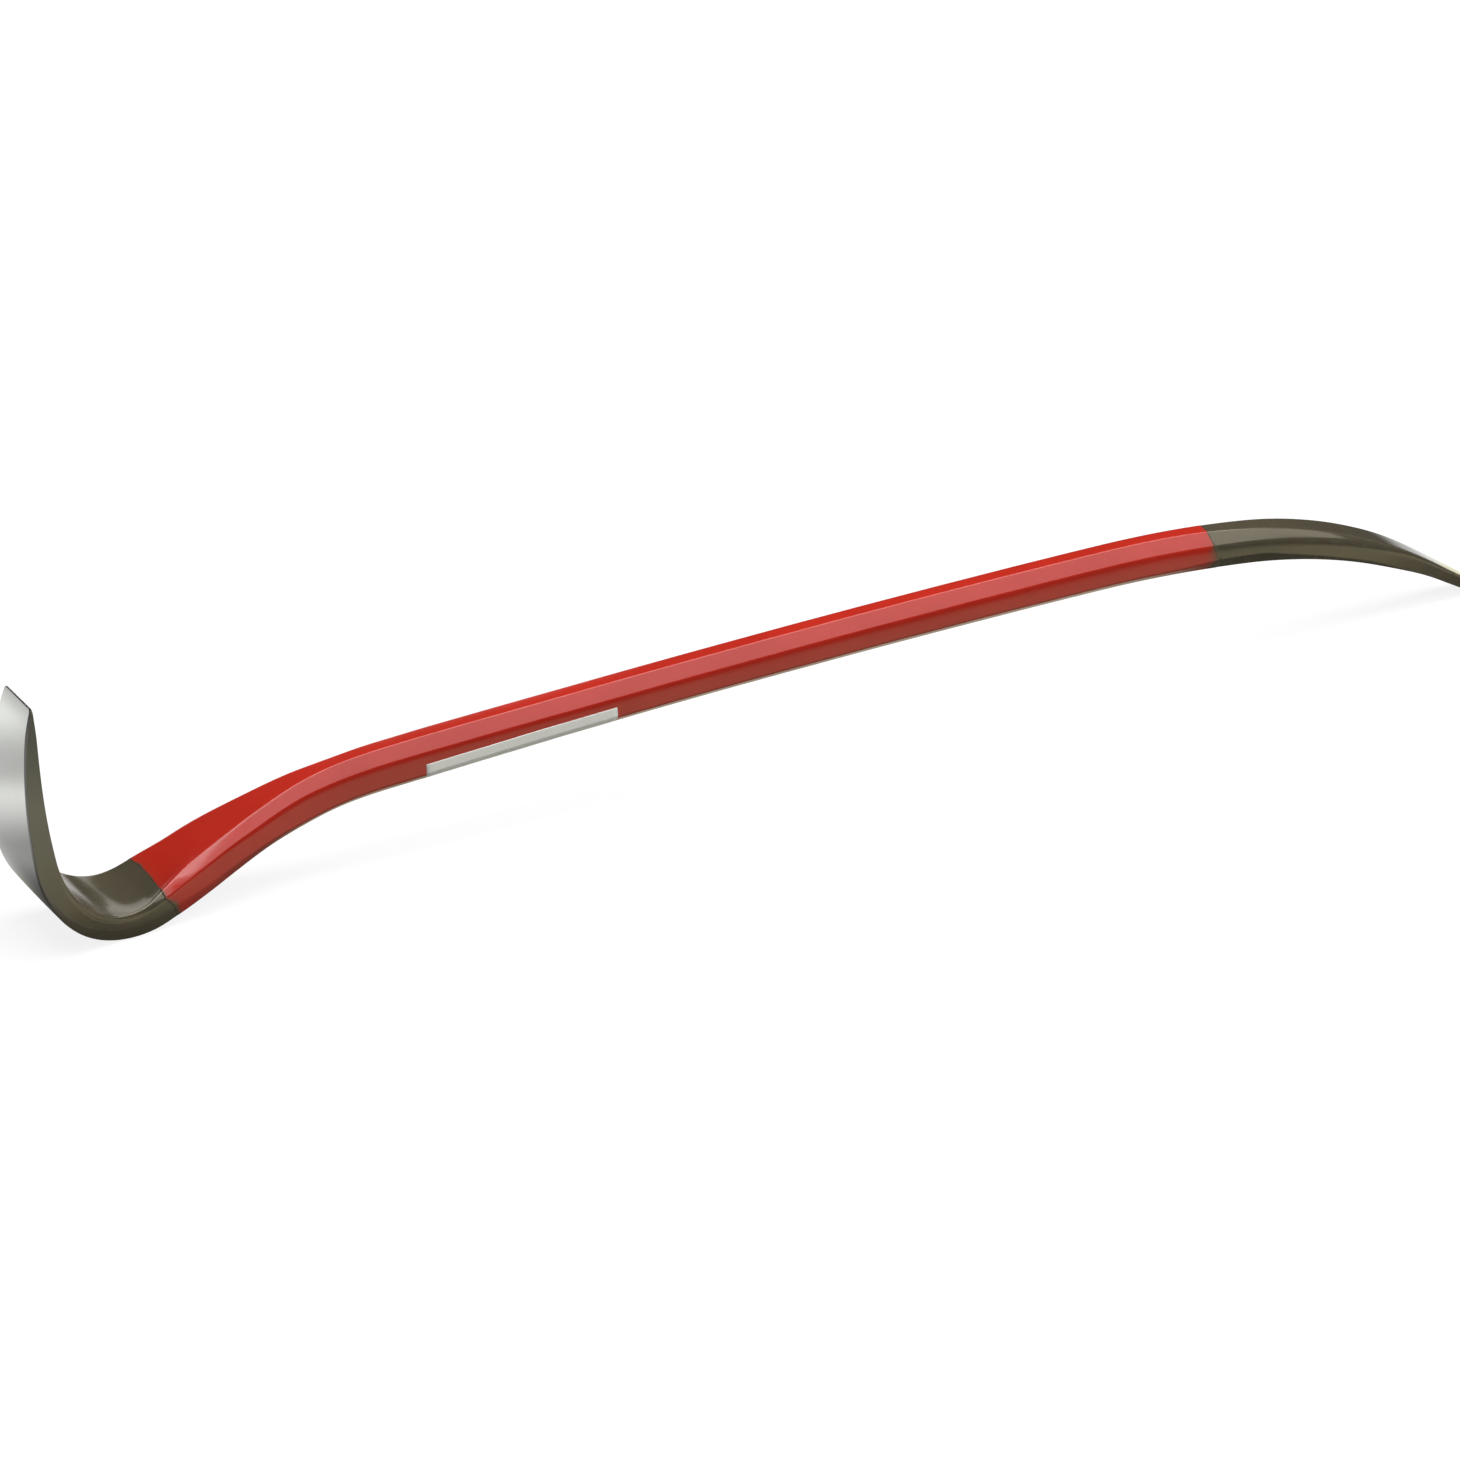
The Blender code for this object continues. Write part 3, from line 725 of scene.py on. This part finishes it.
ENAMEL = (0.505, 0.025, 0.0135, 1.0)
ENAMEL_DEEP = (0.460, 0.022, 0.0115, 1.0)
ENAMEL_THIN = (0.36, 0.040, 0.024, 1.0)
ENAMEL_WEAR = 0.12
CLOUDING = (24.0, 4.0, 0.55)
PEEL = (330.0, 2.0, 0.5)
SPECKLE = (180.0, 3.0, 0.6)
# The enamel is thin, and so darker, near its ends. At an end it lets the skin show over a
# short way above and a longer one below, along an uneven line, and its lip is all bare.
THIN_FROM, THIN_TO = 1.0 * MM, 7.0 * MM
CLOUDS_THIN = (0.35, 0.6, 0.2, 0.6)
ABOVE, BELOW = 0.15, 0.5
FADE_ABOVE, FADE_BELOW, FADE_UNEVEN = 1.8 * MM, 6.0 * MM, 0.6 * MM
LIP_BARE = 0.5 * MM
ENAMEL_ROUGH, BARE_ROUGHER, SCRATCH_ROUGHER = (0.13, 0.17), 0.08, 0.15
ENAMEL_IOR = 1.5

# In millimetres.
PEEL_HEIGHT, CLOUD_HEIGHT = 0.012, 0.10

enamel, tree, shader = new_material("red_enamel", ENAMEL)
place = stored(tree, "straight")
gap, lowness, to_end = split(tree, stored(tree, "facet"))
clouding = grain(tree, place, *CLOUDING)
marked = marks_of_handling(tree, place, scratches=0.25, dullness=0.05)
worn = worn_edges(tree, place, gap, reach=0.6 * MM)

tone = blended(tree, ramp(tree, clouding, *SPREAD), ENAMEL, ENAMEL_DEEP)
tone = blended(tree, combine(tree, "MULTIPLY", worn, ENAMEL_WEAR), tone, ENAMEL_THIN)
run_out = ramp(tree, to_end, THIN_FROM, THIN_TO, 1.0, 0.0)
run_out = combine(tree, "MULTIPLY", run_out, ramp(tree, clouding, *CLOUDS_THIN))
tone = blended(tree, run_out, tone, ENAMEL_THIN)
fades_over = ramp(tree, lowness, ABOVE, BELOW, FADE_ABOVE, FADE_BELOW)
speckle = ramp(tree, grain(tree, place, *SPECKLE), *SPREAD, -FADE_UNEVEN, FADE_UNEVEN)
uneven = combine(tree, "ADD", to_end, speckle)
bare = ramp(tree, combine(tree, "DIVIDE", uneven, fades_over), 0.0, 1.0, 1.0, 0.0)
bare = combine(tree, "MAXIMUM", bare, ramp(tree, to_end, 0.0, LIP_BARE, 1.0, 0.0))
tone = blended(tree, bare, tone, forging_skin(tree, grain(tree, place, *BLOTCHES)))
tree.links.new(tone, shader.inputs["Base Color"])

tree.links.new(combine(tree, "MULTIPLY", bare, SKIN_METALLIC), shader.inputs["Metallic"])
gloss = combine(tree, "ADD", ramp(tree, clouding, *SPREAD, *ENAMEL_ROUGH), marked["Dull"])
gloss = combine(tree, "MULTIPLY_ADD", bare, BARE_ROUGHER, gloss)
gloss = combine(tree, "MULTIPLY_ADD", marked["Scratch"], SCRATCH_ROUGHER, gloss)
tree.links.new(gloss, shader.inputs["Roughness"])
shader.inputs["IOR"].default_value = ENAMEL_IOR
raised(tree, shader, combine(
    tree, "MULTIPLY_ADD", grain(tree, place, *PEEL), PEEL_HEIGHT,
    combine(tree, "MULTIPLY", clouding, CLOUD_HEIGHT)))
coat.data.materials.append(enamel)

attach(coat, "root")
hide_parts("red_coat")

# ---------------------------------------------------------------------------------------
# The label. A strip of white plastic film stuck along the lower edge of the near side and
# folded under over the chamfer. It is left blank but for a thin grey line just above the fold.

LABEL_START, LABEL_LENGTH = 350.0 * MM, 115.0 * MM
LABEL_RISE, LABEL_MARGIN = 6.2 * MM, 0.8 * MM
LABEL_CORNER, LABEL_CORNER_STEPS = 0.6 * MM, 5
LABEL_FILM, LABEL_GLUE = 0.09 * MM, 0.02 * MM
LABEL_PROUD = COAT_PROUD + LABEL_FILM + LABEL_GLUE
STRIPS_ALONG, STRIPS_ACROSS = 40, 24

fold_from = corners(LABEL_START)[LOWER_CHAMFER]
fold_to = corners(LABEL_START)[LOWER_CHAMFER + 1]
LABEL_DROP = (fold_to - fold_from).length - LABEL_MARGIN
LABEL_WIDTH = LABEL_RISE + LABEL_DROP


def on_side(distance, drop):
    """The place on the coat, at a drop below the label's top edge measured round the bar."""
    outline = [place for place, _, _ in ring(distance, LABEL_PROUD)]
    i = FACE_POINTS * LOWER_CHAMFER + CORNER_STEPS // 2
    left, way = abs(drop - LABEL_RISE), 1 if drop > LABEL_RISE else -1
    stretch = (outline[i + way] - outline[i]).length
    while left > stretch:
        left -= stretch
        i += way
        stretch = (outline[i + way] - outline[i]).length
    return outline[i].lerp(outline[i + way], left / stretch)


bpy.ops.object.select_all(action="DESELECT")
bpy.ops.mesh.primitive_plane_add(size=1.0)
label = bpy.context.object
label.name = label.data.name = "blank_label"
bpy.ops.object.mode_set(mode="EDIT")
bpy.ops.transform.resize(value=(LABEL_LENGTH, LABEL_WIDTH, 1.0))
bpy.ops.mesh.bevel(offset=LABEL_CORNER, segments=LABEL_CORNER_STEPS, affect="VERTICES")
for size, strips, way in (
    (LABEL_LENGTH, STRIPS_ALONG, Vector((1.0, 0.0, 0.0))),
    (LABEL_WIDTH, STRIPS_ACROSS, Vector((0.0, 1.0, 0.0))),
):
    for i in range(1, strips):
        bpy.ops.mesh.select_all(action="SELECT")
        bpy.ops.mesh.bisect(plane_co=way * (size * (i / strips - 0.5)), plane_no=way)
bpy.ops.object.mode_set(mode="OBJECT")
straight = label.data.attributes.new("straight", "FLOAT_VECTOR", "POINT")
for i, vertex in enumerate(label.data.vertices):
    distance = LABEL_START + LABEL_LENGTH / 2.0 + vertex.co.x
    drop = LABEL_WIDTH / 2.0 - vertex.co.y
    straight.data[i].vector = (distance, drop, 0.0)
    vertex.co = on_side(distance, drop)
outward_and_smooth(label, SMOOTH_FILM)
thicken(label, LABEL_FILM)

LABEL_WHITE = (0.97, 0.97, 0.90, 1.0)
LABEL_GREY = (0.94, 0.945, 0.87, 1.0)
LABEL_CLOUDING = (60.0, 4.0, 0.6)
CLOUDED = (0.4, 0.75)
LABEL_SCRATCHED = 0.4
FOLD_LINE_GREY = (0.30, 0.31, 0.31, 1.0)
FOLD_LINE_STRENGTH = 0.35
FOLD_LINE_ABOVE, FOLD_LINE_SOLID, FOLD_LINE_SOFT = 0.6 * MM, 0.1 * MM, 0.3 * MM
LABEL_ROUGH = 0.26
CREASES = (130.0, 3.0, 0.55)
CREASE_HEIGHT = 0.05

paper, tree, shader = new_material("label_film", LABEL_WHITE)
place = stored(tree, "straight")
_, down, _ = split(tree, place)
marked = marks_of_handling(tree, place, scratches=0.6, dullness=0.15)
clouding = ramp(tree, grain(tree, place, *LABEL_CLOUDING), *CLOUDED)
tone = blended(tree, clouding, LABEL_WHITE, LABEL_GREY)
# A thin grey line just above the fold.
from_fold_line = combine(tree, "SUBTRACT", down, LABEL_RISE - FOLD_LINE_ABOVE)
from_fold_line = combine(tree, "ABSOLUTE", from_fold_line, 0.0)
fold_line = ramp(tree, from_fold_line, FOLD_LINE_SOLID, FOLD_LINE_SOFT, FOLD_LINE_STRENGTH, 0.0)
tone = blended(tree, fold_line, tone, FOLD_LINE_GREY)
scratched = combine(tree, "MULTIPLY", marked["Scratch"], LABEL_SCRATCHED)
tone = blended(tree, scratched, tone, LABEL_GREY)
tree.links.new(tone, shader.inputs["Base Color"])
tree.links.new(combine(tree, "ADD", LABEL_ROUGH, marked["Dull"]), shader.inputs["Roughness"])
raised(tree, shader,
       combine(tree, "MULTIPLY", grain(tree, place, *CREASES), CREASE_HEIGHT))
label.data.materials.append(paper)

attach(label, "root")
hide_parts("label")

# ---------------------------------------------------------------------------------------
# The stage: a plain white floor, a grey room, four soft lamps, and the camera where the
# photograph was taken from.

scene.view_settings.view_transform = "Standard"

FLOOR_SIZE = 24.0
FLOOR_SEEN_GLOW, FLOOR_SEEN_WHITE = 0.86, 0.18
# The floor throws more light up from beneath the bar than from beside it.
BOUNCE_BENEATH, FLOOR_BOUNCE = 0.33, 0.13
BOUNCE_EASES = (0.02, 0.14)

# In the bar's gloss the floor is a white table, and a pair below is where one tone of it
# eases into the next, in metres. The table is dim in the bar's footprint, whose half length
# is given for its near and its far side, and a little further out where the bar stands: a
# painted shadow of the bar, which only its gloss shows.
PAPER_WHITE, BENEATH_WHITE = 0.97, 0.12
FOOTPRINT_MIDDLE, FOOTPRINT_ACROSS = -0.04, (-0.02, 0.02)
FOOTPRINT_NEAR, FOOTPRINT_FAR = 0.52, 0.41
STANDS_AT, STANDS_DIM = (0.27, 0.37), 0.02
DIM_FADES_OVER = 0.08
# It ends in front of the bar, further off at the heel, and goes on white past the blade.
FRONT_WHITE, FRONT_DARK = 1.0, 0.02
TABLE_DARK_FROM, TABLE_WHITE_FROM = -0.205, -0.123
FURTHER_AT_HEEL, FURTHER_BY = (-0.30, -0.20), 0.22
WHITE_PAST_BLADE = (-0.62, -0.50)
# It ends behind the bar too, closer at the nose.
CLOSER_AT_NOSE, CLOSER_BY = (-0.2, 0.2), 0.48
TABLE_BACK, BACK_DARK = (0.5, 0.76), 0.04
# It is cream in front of the bar and plain white behind it and past the heel.
TABLE_TINT = (1.0, 0.95, 0.68, 1.0)
PLAIN_BEHIND, PLAIN_PAST_HEEL = (0.04, 0.07), (-0.46, -0.40)

bpy.ops.object.select_all(action="DESELECT")
bpy.ops.mesh.primitive_plane_add(size=FLOOR_SIZE)
floor = bpy.context.object
floor.name = floor.data.name = "floor"
white, tree, _ = new_material("floor_white", grey(0.9))
tree.nodes.clear()
rays = add(tree, "ShaderNodeLightPath").outputs


def lit_floor(glow, colour, glow_colour=grey(1.0)):
    diffuse = add(tree, "ShaderNodeBsdfDiffuse", {"Color": colour})
    glowing = add(tree, "ShaderNodeEmission", {"Strength": glow, "Color": glow_colour})
    return add(tree, "ShaderNodeAddShader", {
        0: diffuse.outputs[0], 1: glowing.outputs[0],
    }).outputs[0]


floor_x, floor_y, _ = split(tree, add(tree, "ShaderNodeTexCoord").outputs["Object"])
middle_of = combine(tree, "ABSOLUTE", combine(tree, "ADD", floor_x, -FOOTPRINT_MIDDLE), 0.0)
footprint = ramp(tree, floor_y, *FOOTPRINT_ACROSS, FOOTPRINT_NEAR, FOOTPRINT_FAR)
beyond = combine(tree, "MAXIMUM", combine(tree, "SUBTRACT", middle_of, footprint), 0.0)
sideways = combine(tree, "ABSOLUTE", floor_y, 0.0)
beyond = combine(tree, "SQRT", combine(tree, "MULTIPLY_ADD", beyond, beyond,
                                       combine(tree, "MULTIPLY", sideways, sideways)), 0.0)
stands_near = ramp(tree, middle_of, *STANDS_AT)
# paper: the table's white, dimmed by the painted shadow of the bar in its footprint.
paper = ramp(tree, beyond, combine(tree, "MULTIPLY", stands_near, STANDS_DIM),
             combine(tree, "MULTIPLY_ADD", stands_near, STANDS_DIM, DIM_FADES_OVER),
             BENEATH_WHITE, PAPER_WHITE)
further = ramp(tree, floor_x, *FURTHER_AT_HEEL, FURTHER_BY, 0.0)
reaches = combine(tree, "ADD", floor_y, further)
table = ramp(tree, reaches, TABLE_DARK_FROM, TABLE_WHITE_FROM, FRONT_DARK, FRONT_WHITE)
table = combine(tree, "MAXIMUM", table, ramp(tree, floor_x, *WHITE_PAST_BLADE, 1.0, 0.0))
behind = combine(tree, "ADD", floor_y, ramp(tree, floor_x, *CLOSER_AT_NOSE, 0.0, CLOSER_BY))
table = combine(tree, "MULTIPLY", table, ramp(tree, behind, *TABLE_BACK, 1.0, BACK_DARK))
table = combine(tree, "MINIMUM", paper, table)
untinted = combine(tree, "MAXIMUM", ramp(tree, floor_y, *PLAIN_BEHIND),
                   ramp(tree, floor_x, *PLAIN_PAST_HEEL, 1.0, 0.0))
table_tint = blended(tree, untinted, TABLE_TINT, grey(1.0))
bounce = ramp(tree, sideways, *BOUNCE_EASES, BOUNCE_BENEATH, FLOOR_BOUNCE)

mirrored = combine(tree, "MAXIMUM", rays["Is Glossy Ray"], rays["Is Transmission Ray"])
unseen = add(tree, "ShaderNodeMixShader", {
    0: mirrored, 1: lit_floor(0.0, bounce), 2: lit_floor(table, grey(0.0), table_tint),
})
seen = add(tree, "ShaderNodeMixShader", {
    0: rays["Is Camera Ray"], 1: unseen.outputs[0],
    2: lit_floor(FLOOR_SEEN_GLOW, grey(FLOOR_SEEN_WHITE)),
})
add(tree, "ShaderNodeOutputMaterial", {"Surface": seen.outputs[0]})
floor.data.materials.append(white)

# The room is plain grey. In the bar's gloss it is dark but for a pale ceiling and for a
# white sweep behind the table, up to about eye level. Each is placed by the height, and the
# sweep's sides by the Y, of the direction looked in.
ROOM_LIGHT, ROOM_MIRRORED = 0.04, 0.03
SWEEP_WHITE_TO, SWEEP_ENDS, SWEEP_SIDES = -0.05, 0.01, (-0.2, 0.2)
CEILING_FROM, CEILING_WHITE, CEILING_MIRRORED = 0.76, 0.90, 0.75

world = scene.world or bpy.data.worlds.new("room")
scene.world = world
world.use_nodes = True
tree = world.node_tree
tree.nodes.clear()
rays = add(tree, "ShaderNodeLightPath").outputs
_, look_y, look_z = split(tree, add(tree, "ShaderNodeTexCoord").outputs["Generated"])
sweep = ramp(tree, look_z, SWEEP_WHITE_TO, SWEEP_ENDS, 1.0, 0.0)
sweep = combine(tree, "MULTIPLY", sweep, ramp(tree, look_y, *SWEEP_SIDES))
ceiling = ramp(tree, look_z, CEILING_FROM, CEILING_WHITE, 0.0, CEILING_MIRRORED)
room = ramp(tree, combine(tree, "MAXIMUM", sweep, ceiling), 0.0, 1.0, ROOM_MIRRORED, 1.0)
mirrored = combine(tree, "MAXIMUM", rays["Is Glossy Ray"], rays["Is Transmission Ray"])
strength = mixed(tree, mirrored, ROOM_LIGHT, room)
strength = combine(tree, "MAXIMUM", strength, rays["Is Camera Ray"])
background = add(tree, "ShaderNodeBackground", {"Strength": strength})
add(tree, "ShaderNodeOutputWorld", {"Surface": background.outputs[0]})


def softbox(name, place, aim, width, height, watts):
    """A rectangular lamp, turned towards its aim."""
    data = bpy.data.lights.new(name, "AREA")
    data.shape, data.size, data.size_y, data.energy = "RECTANGLE", width, height, watts
    lamp = bpy.data.objects.new(name, data)
    lamp.location = place
    lamp.rotation_euler = (Vector(aim) - Vector(place)).to_track_quat("-Z", "Y").to_euler()
    scene.collection.objects.link(lamp)


softbox("front_softbox", (0.75, -1.15, 1.06), (0.75, 0.0, 0.05), 2.4, 0.84, 12.9)
softbox("top_softbox", (0.30, -0.14, 2.0), (0.30, 0.0, 0.05), 3.2, 1.4, 57.5)
softbox("neck_softbox", (-0.33, -0.66, 1.49), (-0.28, 0.0, 0.03), 0.50, 0.55, 1.0)
softbox("back_softbox", (0.03, 1.50, 0.45), (-0.38, 0.0, 0.02), 1.0, 0.60, 2.1)

# The lens shows PIXELS_PER_METRE at the target, in a picture of PICTURE_PIXELS.
PICTURE_PIXELS, PIXELS_PER_METRE = 1460, 1835.3
SENSOR_WIDTH = 36.0
CAMERA_DISTANCE = 4.336
CAMERA_TARGET = Vector((-0.02865, 0.0, 0.02363))
AZIMUTH, ELEVATION, ROLL = (math.radians(angle) for angle in (-28.43, 27.20, 0.28))

back = Vector((
    math.sin(AZIMUTH) * math.cos(ELEVATION), -math.cos(AZIMUTH) * math.cos(ELEVATION),
    math.sin(ELEVATION),
))
right = Vector((math.cos(AZIMUTH), math.sin(AZIMUTH), 0.0))
upward = back.cross(right)
right, upward = (right * math.cos(ROLL) + upward * math.sin(ROLL),
                 upward * math.cos(ROLL) - right * math.sin(ROLL))
camera_data = bpy.data.cameras.new("camera")
camera_data.sensor_width = SENSOR_WIDTH
camera_data.lens = SENSOR_WIDTH * PIXELS_PER_METRE * CAMERA_DISTANCE / PICTURE_PIXELS
camera = bpy.data.objects.new("camera", camera_data)
camera.matrix_world = Matrix.Translation(CAMERA_TARGET + back * CAMERA_DISTANCE) @ Matrix(
    (right, upward, back)).transposed().to_4x4()
scene.collection.objects.link(camera)
scene.camera = camera
